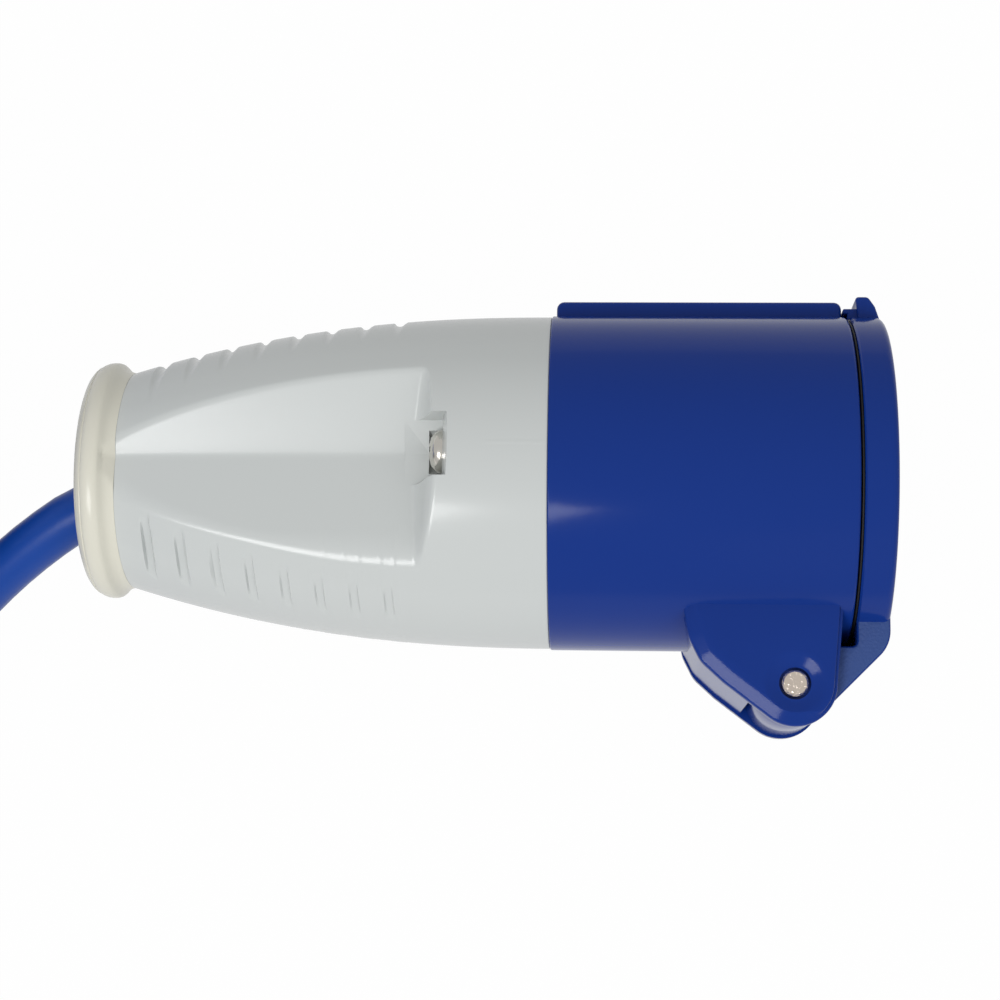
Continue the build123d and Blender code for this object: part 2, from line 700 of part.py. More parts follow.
def grip_screws():
    middle = (grip_rear + grip_front) / 2
    shank = Pos(middle, 0, (grip_top + grip_bottom) / 2) * Cylinder(
        grip_screw_r, grip_top - grip_bottom)
    head = Pos(middle, 0, grip_top + grip_screw_head_thick / 2) * Cylinder(
        grip_screw_head_r, grip_screw_head_thick)
    slot = block(middle - 4, middle + 4, -0.35, 0.35, grip_top + grip_screw_head_thick - 0.9,
                 grip_top + 5)
    screw = shank + head - slot
    return [Pos(0, s * grip_screw_y, 0) * screw for s in (-1, 1)]


def core(angle):
    """One insulated core from the sheath's end to its terminal."""
    lay = Vector(0, core_lay_r, 0).rotate(Axis.X, angle)
    out = Vector(0, contact_circle_r, 0).rotate(Axis.X, angle)
    points = [Vector(sheath_end_x, 0, 0) + lay, Vector(sheath_end_x + 7, 0, 0) + lay,
              Vector(terminal_rear - 7, 0, 0) + out, Vector(terminal_rear, 0, 0) + out]
    path = FilletPolyline(*points, radius=8.0)
    return sweep(Plane(path @ 0, z_dir=path % 0) * RegularPolygon(core_r, 8), path)


# ================================================================ the cord
def free_tube(name, points):
    """Round tube on straight runs joined by arcs as large as the runs allow."""
    radii = []
    for before, here, after in zip(points, points[1:], points[2:]):
        turn = (here - before).get_angle(after - here)
        run = min((here - before).length, (after - here).length)
        radii.append(0.45 * run / tan(radians(turn / 2)))
    path = FilletPolyline(*points, radius=radii)
    tube = sweep(Plane(path @ 0, z_dir=path % 0) * Circle(gauge_r), path)
    section = pi * gauge_r ** 2
    print(name, "radii", [round(r, 1) for r in radii], "length", round(path.length, 1),
          "volume / (section x length)", round(tube.volume / (section * path.length), 4))
    return tube, path.length


def lead_route():
    """From inside the coupler's handle, out of the bell and down to the floor."""
    fall_x, fall_y, fall_z = lead_fall
    return [
        Vector(row_x + sheath_end_x, row_y, row_z),
        Vector(row_x + lead_bend_x, row_y, row_z),
        Vector(row_x + fall_x, row_y + fall_y, row_z + fall_z),
        Vector(row_x + lead_foot[0], row_y + lead_foot[1], cord_rest_z),
        Vector(row_x + lead_end[0], row_y + lead_end[1], cord_rest_z),
    ]


def coil_frame(route):
    """Centre of the coil, the outward direction at its start, and the cord's heading there."""
    heading = (route[-1] - route[-2]).normalized()
    start = route[-1] + heading * cord_d
    outward = heading.rotate(Axis.Z, 90)
    return start - outward * coil_r, outward, heading, start


def coil_reach():
    """Distance from the coil's centre at every half turn, for each layer in turn."""
    half_turns = 2 * coil_turns
    inward = [coil_r - k * coil_pitch / 2 for k in range(half_turns + 1)]
    inward[-1] -= climb_room
    layers = []
    for layer in range(coil_layers):
        reach = list(inward) if layer % 2 == 0 else list(reversed(inward))
        if 0 < layer and layer % 2 == 0:
            reach[0] += climb_room
        if layer % 2 == 1 and layer < coil_layers - 1:
            reach[-1] += climb_room
        layers.append(reach)
    return layers


def coil():
    """The stored length: layers that spiral in and out, one unbroken tube."""
    centre, outward, heading, start = coil_frame(lead_route())
    edges = [Line(start - heading * cord_d, start)]
    point = start
    side = 1
    turns = 0
    for layer, reach in enumerate(coil_reach()):
        if layer > 0:
            across = outward * (-2 * side * reach[0])
            arcs, point = climbing_half_turn(point, across, heading, coil_pitch)
            edges += arcs
            heading = -heading
            side = -side
            turns += 0.5
        for here, there in zip(reach, reach[1:]):
            across = outward * (-side * (here + there))
            edges.append(TangentArc(point, point + across, tangent=heading))
            point = point + across
            heading = -heading
            side = -side
            turns += 0.5
    last_turn = -degrees(atan2(heading.Y, heading.X))
    away = outward * (side * (coil_r + leave_room))
    end = point - away + away.rotate(Axis.Z, last_turn)
    edges.append(TangentArc(point, end, tangent=heading))
    edges.append(Line(end, end + Vector(cord_d, 0, 0)))
    path = Wire(edges)
    start_plane = Plane(path @ 0, x_dir=(0, 0, 1), z_dir=path % 0)
    tube = sweep(start_plane * Rot(0, 0, 30) * RegularPolygon(coil_section_r, 6), path)
    section = 1.5 * sqrt(3) * coil_section_r ** 2
    print("coil turns", turns, "length", round(path.length, 1), "volume / (section x length)",
          round(tube.volume / (section * path.length), 4),
          "least gap to itself", round(least_gap(path), 2), "end angle", round(last_turn, 1))
    return tube, path.length, end + Vector(cord_d, 0, 0)


def least_gap(path):
    """Least clear distance between stretches of the coil more than a quarter turn apart."""
    count = ceil(path.length / 6)
    skip = ceil(pi * (coil_r - coil_turns * coil_pitch) / 2 / 6)
    points = [tuple(path @ (i / count)) for i in range(count + 1)]
    nearest = min(dist(points[i], points[j]) for i in range(len(points))
                  for j in range(i + skip, len(points)))
    return nearest - cord_d


def tail_route(start):
    """From the coil's top layer, round in a rising half turn and into the plug."""
    points = [start]
    heading = Vector(1, 0, 0)
    for run, turn, climb in zip(tail_runs, tail_turns, tail_climb):
        flat = points[-1] + heading * run
        height = start.Z + climb * (plug_axis_z - start.Z)
        points.append(Vector(flat.X, flat.Y, height))
        heading = heading.rotate(Axis.Z, -turn)
    return points


# ================================================================ assembly
def connector_rear_parts(prefix, turn, hand):
    """The pieces that both connectors share, from the handle back to the cord."""
    parts = {
        prefix + "handle": Rot(turn, 0, 0) * handle(),
        prefix + "body_screws": group([Rot(turn, 0, 0) * s for s in both_sides(body_screw())]),
        prefix + "body_seal": body_seal(),
        prefix + "entry_ring": entry_ring(),
        prefix + "cord_seal": cord_seal(),
        prefix + "cord_grip_bar": grip_bar(),
        prefix + "cord_grip_screws": group(grip_screws()),
        prefix + "terminal_screws": group([terminal_screw(pin, angle) for _, pin, angle in poles(hand)]),
    }
    for name, _, angle in poles(hand):
        parts[prefix + "core_" + name] = core(angle)
    return parts


def coupler():
    parts = connector_rear_parts("coupler_", handle_turn, 1)
    parts["coupler_housing"] = coupler_housing()
    parts["coupler_lid"] = coupler_lid()
    parts["lid_gasket"] = lid_gasket()
    parts["lid_hinge_pin"] = hinge_pin()
    parts["lid_spring"] = lid_spring()
    parts["coupler_contact_carrier"] = contact_carrier(carrier_front, handle_turn, 1, True)
    for name, pin, angle in poles(1):
        parts["coupler_contact_" + name] = socket_contact(pin, angle)
    return {name: Pos(row_x, row_y, row_z) * shape for name, shape in parts.items()}


def plug(entry):
    parts = connector_rear_parts("plug_", 0, -1)
    parts["plug_housing"] = plug_housing()
    parts["plug_pin_carrier"] = contact_carrier(plug_carrier_front, 0, -1, False)
    for name, pin, angle in poles(-1):
        parts["plug_pin_" + name] = plug_pin(pin, angle)
    place = Pos(entry.X, entry.Y, entry.Z) * Rot(0, 0, 180) * Pos(-sheath_end_x, 0, 0)
    return {name: place * shape for name, shape in parts.items()}


def main():
    parts = coupler()
    lead_points = lead_route()
    parts["cord_lead"], lead_length = free_tube("cord_lead", lead_points)
    parts["cord_coil"], coil_length, coil_end = coil()
    tail_points = tail_route(coil_end)
    parts["cord_tail"], tail_length = free_tube("cord_tail", tail_points)
    parts.update(plug(tail_points[-1]))
    print("cord length", round(lead_length + coil_length + tail_length, 1))
    print("coil centre", coil_frame(lead_points)[0], "tail", tail_points)
    os.makedirs("parts", exist_ok=True)
    for name, shape in parts.items():
        export_step(shape, f"parts/{name}.step")


main()
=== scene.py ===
from math import acos, atan2, cos, degrees, dist, pi, radians, sin, sqrt, tan

import bmesh
import bpy
import numpy as np
from mathutils import Matrix, Vector


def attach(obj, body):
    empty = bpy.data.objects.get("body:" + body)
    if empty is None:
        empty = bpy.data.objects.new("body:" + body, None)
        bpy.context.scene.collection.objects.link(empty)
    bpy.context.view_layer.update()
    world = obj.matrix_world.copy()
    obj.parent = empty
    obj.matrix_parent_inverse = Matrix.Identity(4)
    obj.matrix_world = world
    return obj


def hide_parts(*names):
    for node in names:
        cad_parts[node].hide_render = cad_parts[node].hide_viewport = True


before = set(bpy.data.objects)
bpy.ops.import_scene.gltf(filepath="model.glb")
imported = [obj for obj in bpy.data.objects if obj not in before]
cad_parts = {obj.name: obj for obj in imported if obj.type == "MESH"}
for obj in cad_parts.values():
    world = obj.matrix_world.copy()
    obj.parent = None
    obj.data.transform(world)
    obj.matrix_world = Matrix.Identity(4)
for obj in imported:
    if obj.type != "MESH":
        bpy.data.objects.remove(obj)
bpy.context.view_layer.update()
MM = 0.001

# ---------------------------------------------------------------- sizes
# In millimetres. Each connector is built in its own frame: X along its axis towards the mouth,
# zero at the joint of housing and handle, Y towards the key and Z out of the two flanks.
BODY_R, BODY_LENGTH = 27.2, 47.1
MOUTH_R = 23.0
SPIGOT_R, SPIGOT_BORE_R, SPIGOT_LENGTH = 23.6, 21.0, 5.0
WALL_REAR, WALL_FRONT, WALL_BORE_R = 5.1, 9.1, 17.45

HANDLE_LENGTH, HANDLE_FRONT_R, HANDLE_REAR_R = 68.4, 27.0, 17.7
HANDLE_WALL, HANDLE_BORE_R, HANDLE_SOCKET_R = 2.6, 22.6, 23.75
HANDLE_TURN = radians(-3.0)

# The scoop in each flank: two facets that meet in a valley, and a leaning wall at the front.
VALLEY_X, VALLEY_Z, VALLEY_RISE = -20.4, 18.8, 0.0465
FACET_KEY, FACET_HINGE = 0.347, 0.087
WALL_LEAN = radians(20.0)

# Grooves over the key side and slots on the hinge side share their places along the handle.
GRIP_COUNT, GRIP_REAR, GRIP_PITCH = 8, -63.2, 5.5
GROOVE_R, GROOVE_DEPTH = 1.3, 0.8
BAND_RISE, BAND_START = 0.03, -5.0

# The body screws lie along X above the valleys, with their heads in a notch.
SCREW_Z, SCREW_SEAT_X, SHANK_R = 20.4, -16.2, 1.75
COUNTERBORE_R, COUNTERBORE_REAR = 3.5, -18.6
NOTCH_REAR, NOTCH_HALF = -22.4, 5.0

LUG_TIP_R = 6.5
HINGE_X, HINGE_Y = BODY_LENGTH - 9.2, -(BODY_R + LUG_TIP_R)
PIN_R = 2.0
LID_ROOT_Y = -19.0
LID_REAR, LID_SEAT, LID_EDGE = 47.7, 50.0, 52.9
LID_RIM_R = 25.45
ARM_HALF = 12.9

CORD_R = 4.4
CORD_END_X = -42.8

# Places of both connectors in the row frame.
COUPLER = Matrix.Translation((10.65, 5.1, BODY_R))
PLUG_ENTRY = (-147.66036, -29.85078, 64.65)
PLUG = (Matrix.Translation(PLUG_ENTRY) @ Matrix.Rotation(pi, 4, "Z")
        @ Matrix.Translation((-CORD_END_X, 0.0, 0.0)))


# ---------------------------------------------------------------- outlines
def rounded(points, radii, steps=4, closed=True):
    """A polygon with its corners rounded; radii holds one radius per corner."""
    out = []
    count = len(points)
    for i, here in enumerate(points):
        if radii[i] <= 0 or (not closed and i in (0, count - 1)):
            out.append(tuple(here))
            continue
        here = Vector(here)
        back = (Vector(points[i - 1]) - here).normalized()
        ahead = (Vector(points[(i + 1) % count]) - here).normalized()
        half = back.angle(ahead) / 2
        reach = radii[i] / tan(half)
        centre = here + (back + ahead).normalized() * (radii[i] / sin(half))
        start = here + back * reach - centre
        end = here + ahead * reach - centre
        swing = start.angle(end)
        cross = start.x * end.y - start.y * end.x
        sign = 1 if cross > 0 else -1
        for k in range(steps + 1):
            spin = Matrix.Rotation(sign * swing * k / steps, 2)
            out.append(tuple(centre + spin @ start))
    return out


def arc(cx, cy, radius, start_deg, end_deg, steps):
    span = end_deg - start_deg
    return [(cx + radius * cos(radians(start_deg + span * k / steps)),
             cy + radius * sin(radians(start_deg + span * k / steps))) for k in range(steps + 1)]


def circle(cx, cy, radius, corners=48):
    return arc(cx, cy, radius, 0.0, 360.0 - 360.0 / corners, corners - 1)


def inset(outline, amount):
    """A counter-clockwise outline moved inwards by amount, corner by corner."""
    count = len(outline)
    moved = []
    for i in range(count):
        (ax, ay), (bx, by), (cx, cy) = outline[i - 1], outline[i], outline[(i + 1) % count]
        first, second = Vector((ay - by, bx - ax)).normalized(), Vector((by - cy, cx - bx)).normalized()
        middle = first + second
        moved.append((bx + amount * middle.x / (1 + first.dot(second)),
                      by + amount * middle.y / (1 + first.dot(second))))
    return moved


def tangent_point(point, centre, radius, side):
    """Where a line from point touches a circle, on the side given as 1 or -1."""
    away = atan2(point[1] - centre[1], point[0] - centre[0])
    swing = acos(radius / dist(point, centre))
    return (centre[0] + radius * cos(away + side * swing), centre[1] + radius * sin(away + side * swing))


# ---------------------------------------------------------------- meshes
def new_object(name, data):
    obj = bpy.data.objects.new(name, data)
    bpy.context.scene.collection.objects.link(obj)
    return obj


def from_faces(name, verts, faces, weld=0.0):
    """An object whose faces look outwards; points nearer to each other than weld become one."""
    mesh = bpy.data.meshes.new(name)
    mesh.from_pydata(verts, [], faces)
    bm = bmesh.new()
    bm.from_mesh(mesh)
    if weld > 0:
        bmesh.ops.remove_doubles(bm, verts=bm.verts, dist=weld)
    bmesh.ops.recalc_face_normals(bm, faces=bm.faces)
    bm.to_mesh(mesh)
    bm.free()
    return new_object(name, mesh)


def lathe(name, profile, segments=256):
    """A closed profile of (x, radius) points turned about X."""
    verts, faces = [], []
    count = len(profile)
    for s in range(segments):
        a = 2 * pi * s / segments
        verts += [(x, r * cos(a), r * sin(a)) for x, r in profile]
    for s in range(segments):
        t = (s + 1) % segments
        for i in range(count):
            j = (i + 1) % count
            if profile[i][1] > 0 or profile[j][1] > 0:
                faces.append((s * count + i, s * count + j, t * count + j, t * count + i))
    return from_faces(name, verts, faces, weld=1e-5)


def prism(name, outline, z0, z1, rim=0.0, steps=3):
    """An outline in XY pushed from z0 to z1, both rims rounded."""
    count = len(outline)
    verts = [(x, y, z0) for x, y in outline] + [(x, y, z1) for x, y in outline]
    faces = [tuple(range(count)), tuple(range(count, 2 * count))]
    faces += [(i, (i + 1) % count, count + (i + 1) % count, count + i) for i in range(count)]
    obj = from_faces(name, verts, faces)
    if rim > 0:
        bm = bmesh.new()
        bm.from_mesh(obj.data)
        edges = [e for e in bm.edges if abs(e.verts[0].co.z - e.verts[1].co.z) < 1e-6]
        bmesh.ops.bevel(bm, geom=edges, offset=rim, segments=steps, profile=0.5, affect="EDGES",
                        clamp_overlap=True)
        bm.to_mesh(obj.data)
        bm.free()
    return obj


def rounded_box(name, x0, x1, y0, y1, z0, z1, corner=0.0, rim=0.0):
    outline = rounded([(x0, y0), (x1, y0), (x1, y1), (x0, y1)], [corner] * 4)
    return prism(name, outline, z0, z1, rim, steps=4)


def edged_plate(name, outline, section, rim, slope_share):
    """An outline in XY with a shaped edge: section gives (inset, z) from the back to the face.

    Past the rim, each corner is moved in by its own share of the slope.
    """
    count, verts, faces = len(outline), [], []
    for amount, z in section:
        narrow, wide = inset(outline, min(amount, rim)), inset(outline, amount)
        for (x0, y0), (x1, y1), share in zip(narrow, wide, slope_share):
            verts.append((x0 + (x1 - x0) * share, y0 + (y1 - y0) * share, z))
    for level in range(len(section) - 1):
        for i in range(count):
            a, b = level * count + i, level * count + (i + 1) % count
            faces.append((a, b, b + count, a + count))
    faces += [tuple(range(count)), tuple(range((len(section) - 1) * count, len(section) * count))]
    return from_faces(name, verts, faces)


def placed(obj, matrix):
    obj.data.transform(matrix)
    return obj


def combine(base, tools, operation):
    """Boolean of base with each tool in turn; the tools are used up."""
    for tool in tools:
        modifier = base.modifiers.new("cut", "BOOLEAN")
        modifier.operation = operation
        modifier.solver = "EXACT"
        modifier.object = tool
        bpy.context.view_layer.update()
        graph = bpy.context.evaluated_depsgraph_get()
        mesh = bpy.data.meshes.new_from_object(base.evaluated_get(graph))
        base.modifiers.clear()
        old = base.data
        base.data = mesh
        bpy.data.meshes.remove(old)
        bpy.data.objects.remove(tool)
    return base


def joined(objects):
    """One object from several loose shells."""
    bm = bmesh.new()
    for obj in objects:
        bm.from_mesh(obj.data)
    bm.to_mesh(objects[0].data)
    bm.free()
    for obj in objects[1:]:
        bpy.data.objects.remove(obj)
    return objects[0]


def finish_piece(obj, matrix, material, body, node, sharp=32.0):
    obj.data.transform(Matrix.Scale(MM, 4) @ matrix)
    obj.data.polygons.foreach_set("use_smooth", [True] * len(obj.data.polygons))
    obj.data.set_sharp_from_angle(angle=radians(sharp))
    obj.data.materials.clear()
    obj.data.materials.append(material)
    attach(obj, body)
    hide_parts(node)
    return obj


# ---------------------------------------------------------------- materials
def srgb(r, g, b):
    def linear(v):
        v /= 255
        return v / 12.92 if v <= 0.04045 else ((v + 0.055) / 1.055) ** 2.4
    return (linear(r), linear(g), linear(b), 1.0)


def noise(tree, place, scale, detail):
    node = tree.nodes.new("ShaderNodeTexNoise")
    node.inputs["Scale"].default_value = scale
    node.inputs["Detail"].default_value = detail
    tree.links.new(place.outputs["Object"], node.inputs["Vector"])
    return node.outputs["Fac"]


def surface(name, colour, roughness, bump, bump_scale=900.0, spread=0.0, specular=0.5, metallic=0.0):
    """Principled material with fine relief; spread makes its roughness slightly uneven."""
    material = bpy.data.materials.new(name)
    material.use_nodes = True
    tree = material.node_tree
    shader = tree.nodes["Principled BSDF"]
    shader.inputs["Base Color"].default_value = colour
    shader.inputs["Roughness"].default_value = roughness
    shader.inputs["Metallic"].default_value = metallic
    shader.inputs["Specular IOR Level"].default_value = specular
    place = tree.nodes.new("ShaderNodeTexCoord")
    relief = tree.nodes.new("ShaderNodeBump")
    relief.inputs["Strength"].default_value = bump
    relief.inputs["Distance"].default_value = 0.2 * MM
    tree.links.new(noise(tree, place, bump_scale, 3.0), relief.inputs["Height"])
    tree.links.new(relief.outputs["Normal"], shader.inputs["Normal"])
    if spread > 0:
        limit = tree.nodes.new("ShaderNodeMapRange")
        limit.inputs["To Min"].default_value = roughness - spread
        limit.inputs["To Max"].default_value = roughness + spread
        tree.links.new(noise(tree, place, 18.0, 2.0), limit.inputs["Value"])
        tree.links.new(limit.outputs["Result"], shader.inputs["Roughness"])
    return material


def metal(name, colour, roughness, bump=0.04, bump_scale=900.0):
    return surface(name, colour, roughness, bump, bump_scale, metallic=1.0)


WHITE = surface("white_moulding", srgb(204, 208, 207), 0.19, 0.03, spread=0.03, specular=0.45)
CREAM = surface("cream_moulding", srgb(224, 222, 208), 0.26, 0.03, spread=0.04, specular=0.4)
BLUE = surface("blue_moulding", srgb(18, 52, 134), 0.14, 0.03, spread=0.02, specular=0.16)
BLUE_GRAIN = surface("blue_grained", srgb(44, 74, 138), 0.55, 0.6, bump_scale=1800.0)
DARK = surface("insert_moulding", srgb(62, 66, 76), 0.5, 0.1)
BLACK = surface("black_rubber", srgb(22, 22, 24), 0.62, 0.1)
NICKEL = metal("nickel", srgb(226, 222, 214), 0.2, bump_scale=2500.0)
STEEL = metal("pin_steel", srgb(240, 226, 212), 0.2, bump=0.9, bump_scale=1900.0)
WIRE = metal("spring_wire", srgb(150, 150, 152), 0.35)
BRASS = metal("contact_brass", srgb(214, 180, 112), 0.3)
SHEATH = surface("blue_sheath", srgb(14, 68, 158), 0.36, 0.12, bump_scale=700.0, spread=0.05,
                 specular=0.3)
BROWN = surface("core_brown", srgb(96, 58, 34), 0.45, 0.05)
CORE_BLUE = surface("core_blue", srgb(58, 118, 188), 0.45, 0.05)
GREEN = surface("core_green_yellow", srgb(120, 156, 52), 0.45, 0.05)


# ---------------------------------------------------------------- handle
def soft_min(a, b, k):
    """The lesser of a and b, blended where they are less than k apart."""
    h = np.clip(1 - np.abs(a - b) / k, 0, 1)
    return np.minimum(a, b) - h * h * k / 4


def soft_max(a, b, k):
    return -soft_min(-a, -b, k)


def soft_step(low, high, x):
    t = np.clip((x - low) / (high - low), 0, 1)
    return t * t * (3 - 2 * t)


def handle_r(x):
    """The handle's radius before anything is cut into it."""
    taper = np.clip(-x / HANDLE_LENGTH, 0, None) ** 2.25
    return HANDLE_FRONT_R - (HANDLE_FRONT_R - HANDLE_REAR_R) * taper


def scoop_r(x, a):
    """Radius of the scoops' surface; far outside the handle where they cut nothing."""
    blend, flattest, far, limit = 0.02, 0.2, 90.0, 60.0
    up = np.maximum(np.abs(np.sin(a)), 1e-3)
    side = np.sqrt(np.cos(a) ** 2 + blend ** 2)
    valley = VALLEY_Z + VALLEY_RISE * (x - VALLEY_X)
    middle, half = (FACET_KEY + FACET_HINGE) / 2, (FACET_KEY - FACET_HINGE) / 2
    facet = middle + half * np.tanh(np.cos(a) / blend)
    slope = up - facet * side
    floor = np.where(slope > flattest, valley / np.maximum(slope, flattest), far)
    wall = (VALLEY_Z + (x - VALLEY_X) / tan(WALL_LEAN)) / up
    return np.minimum(soft_max(floor, wall, 3.0), limit)


def grips():
    """Place of each groove and slot, with a share that fades from 1 at the rear to 0 in front."""
    last = GRIP_COUNT - 1
    return [(GRIP_REAR + GRIP_PITCH * k, (1 - k / last) ** 1.9) for k in range(GRIP_COUNT)]


def cut_grooves(r, x, from_key):
    """Grooves over the key side, deepest at the key. Their bands stand up faintly further round."""
    for grip_x, fade in grips():
        end = radians(49.5 - 20.1 * fade)
        depth = GROOVE_DEPTH * (1 - (1 - np.cos(from_key)) / (1 - sin(end)))
        hollow = np.sqrt(np.clip(GROOVE_R ** 2 - (x - grip_x) ** 2, 0, None))
        cut = hollow - (GROOVE_R - depth)
        change = soft_max(cut, 0 * cut, 0.12) - BAND_RISE * (cut < BAND_START)
        r = r - np.where(np.abs(x - grip_x) < GROOVE_R, change, 0)
    return r


def cut_slots(r, x, from_key):
    """Straight-bottomed slots on the hinge side, by their angles from the middle of the flank."""
    off = from_key - pi / 2
    for grip_x, fade in grips():
        start, end = radians(50.8 - 21.3 * fade), radians(69.0 - 2.5 * fade)
        bottom = handle_r(grip_x) * cos((end - start) / 2)
        slot = bottom / np.maximum(np.cos(off - (start + end) / 2), 0.3)
        slot = slot + 3.0 * soft_step(0.62, 0.9, np.abs(x - grip_x))
        inside = (off > start - 0.1) & (off < end + 0.1) & (np.abs(x - grip_x) < 1.0)
        r = np.where(inside, soft_min(r, slot, 0.15), r)
    return r


def handle_surface(x, a):
    """Radius at x and angle a, from the key side towards +Z; both are arrays of one shape."""
    base = handle_r(x)
    hinge_side = soft_step(0.1, -0.1, np.cos(a))
    softness = 0.5 + hinge_side * (0.5 + 1.6 * soft_step(-50.0, -26.0, x))
    r = soft_min(base, scoop_r(x, a), softness)
    from_key = np.arctan2(np.abs(np.sin(a)), np.cos(a))
    r = cut_slots(cut_grooves(r, x, from_key), x, from_key)
    # the mould's parting line along the middle of each flank, in front of the scoop
    line_width, line_height = 0.13, 0.05
    line = np.exp(-((np.abs(np.cos(a)) * base) / line_width) ** 2) * soft_step(-9.8, -9.2, x)
    return r + line_height * line


def handle_bore(x, a):
    """Radius of the handle's inside, narrower round the screws and at the neck."""
    neck_x, neck_r, screw_room_r = -55.4, 13.6, 14.0
    r = np.minimum(handle_surface(x, a) - HANDLE_WALL, HANDLE_BORE_R)
    near_screw = (np.abs(np.cos(a)) < 0.36) & (x < -4.0)
    r = np.where(near_screw, np.minimum(r, screw_room_r), r)
    r[x < neck_x] = neck_r
    r[0] = HANDLE_SOCKET_R
    return r


def handle_mesh(name):
    """A grid over x and angle, forward along the outside and back along the inside."""
    step, turns = 0.26, 720
    rear_rows = [-HANDLE_LENGTH, -HANDLE_LENGTH + 0.08, -HANDLE_LENGTH + 0.2]
    outer_x = np.concatenate([rear_rows, np.arange(-HANDLE_LENGTH + 0.45, -0.3, step),
                              [-0.2, -0.08, 0.0]])
    inner_x = np.arange(0.0, -HANDLE_LENGTH - 0.01, -HANDLE_LENGTH / 24)
    angles = 2 * pi * np.arange(turns) / turns
    outer_x, outer_a = np.meshgrid(outer_x, angles, indexing="ij")
    inner_x, inner_a = np.meshgrid(inner_x, angles, indexing="ij")
    outer_r = handle_surface(outer_x, outer_a)
    # the edges of both ends are broken a little
    for row, drop in ((0, 0.06), (-2, 0.08), (-1, 0.25)):
        outer_r[row] -= drop
    x, a = np.concatenate([outer_x, inner_x]), np.concatenate([outer_a, inner_a])
    r = np.concatenate([outer_r, handle_bore(inner_x, inner_a)])
    verts = np.stack([x, r * np.cos(a), r * np.sin(a)], -1).reshape(-1, 3)
    rows = len(x)
    i, j = np.meshgrid(np.arange(rows), np.arange(turns), indexing="ij")
    i2, j2 = (i + 1) % rows, (j + 1) % turns
    faces = np.stack([i * turns + j, i2 * turns + j, i2 * turns + j2, i * turns + j2], -1)
    handle = from_faces(name, verts.tolist(), faces.reshape(-1, 4).tolist())
    pockets = []
    for side in (1, -1):
        bore = lathe("bore", [(COUNTERBORE_REAR, 0.0), (COUNTERBORE_REAR, COUNTERBORE_R),
                              (SCREW_SEAT_X, COUNTERBORE_R), (SCREW_SEAT_X, 0.0)], 64)
        pockets += [notch_mesh(side), placed(bore, Matrix.Translation((0, 0, SCREW_Z * side)))]
    return combine(handle, pockets, "DIFFERENCE")


def notch_mesh(side):
    """Prism over the scoop's facets whose front face leans forward above the screw head."""
    lean_z, lean_x, top_z = 23.75, -14.3, 30.0
    section = [(-NOTCH_HALF, VALLEY_Z + NOTCH_HALF * tan(radians(5.0))), (0.0, VALLEY_Z),
               (NOTCH_HALF, VALLEY_Z + NOTCH_HALF * tan(radians(19.1)))]
    verts = []
    for y, z in section:
        verts += [(NOTCH_REAR, y, (z - 0.1) * side), (SCREW_SEAT_X, y, (z + 0.18) * side)]
    for y in (-NOTCH_HALF, NOTCH_HALF):
        verts += [(SCREW_SEAT_X, y, lean_z * side), (lean_x, y, top_z * side),
                  (NOTCH_REAR, y, top_z * side)]
    faces = [(0, 1, 6, 7, 8), (4, 5, 9, 10, 11), (0, 2, 3, 1), (2, 4, 5, 3), (1, 3, 5, 9, 6),
             (6, 9, 10, 7), (7, 10, 11, 8), (8, 11, 4, 2, 0)]
    return from_faces("notch", verts, faces)


# ---------------------------------------------------------------- entry ring and body screws
RING_OUTLINE = [(0.0, 13.5), (0.0, 17.7), (0.5, 17.78), (1.0, 17.95), (1.45, 18.2), (1.85, 18.55),
                (2.2, 18.98), (2.5, 19.22), (2.9, 19.34), (3.5, 19.36), (4.1, 19.28), (4.7, 19.05),
                (5.05, 18.8), (5.13, 18.66), (5.21, 18.66), (5.3, 18.72), (5.7, 18.4), (6.1, 17.9),
                (6.35, 17.3), (6.5, 16.6), (6.5, 13.1), (6.44, 12.7), (6.25, 12.3), (5.9, 11.9),
                (5.2, 11.3), (4.2, 10.5), (3.0, 9.7), (1.6, 8.9), (0.0, 8.2), (-2.0, 7.4),
                (-5.0, 6.5), (-8.4, 5.6), (-8.4, 13.5)]


def entry_ring_mesh(name):
    """RING_OUTLINE, as (distance behind the handle, radius), turned; its front meets the scoops."""
    ring = lathe(name, [(-HANDLE_LENGTH - behind, r) for behind, r in RING_OUTLINE])
    valley_z, flat_length, flank_z = 16.6, 2.0, 14.0
    for vertex in ring.data.vertices:
        x, y, z = vertex.co
        behind = -HANDLE_LENGTH - x
        if behind < flat_length and abs(z) > flank_z:
            facet = FACET_KEY * y if y > 0 else -FACET_HINGE * y
            top = valley_z + facet + 0.75 * behind
            vertex.co.z = min(abs(z), top) * (1 if z > 0 else -1)
    return ring


def screw_mesh(name):
    """A pan head with a cross recess, and its shank through the joint."""
    cross_length, cross_width, tip = 4.2, 0.85, 7.8
    profile = [(-18.5, 0.0), (-18.42, 1.2), (-18.15, 2.2), (-17.7, 2.9), (-17.1, 3.3), (-16.5, 3.4),
               (SCREW_SEAT_X, 3.35), (SCREW_SEAT_X, SHANK_R), (tip - 0.4, SHANK_R),
               (tip, SHANK_R - 0.4), (tip, 0.0)]
    screw = lathe(name, profile, 64)
    arms = [rounded_box("arm", -19.2, -17.0, -width / 2, width / 2, -height / 2, height / 2, 0.1)
            for width, height in ((cross_length, cross_width), (cross_width, cross_length))]
    combine(screw, arms, "DIFFERENCE")
    return placed(screw, Matrix.Translation((0, 0, SCREW_Z)))


def body_screws_mesh(name):
    first = screw_mesh(name)
    second = new_object(name + "_b", first.data.copy())
    return joined([first, placed(second, Matrix.Rotation(pi, 4, "X"))])


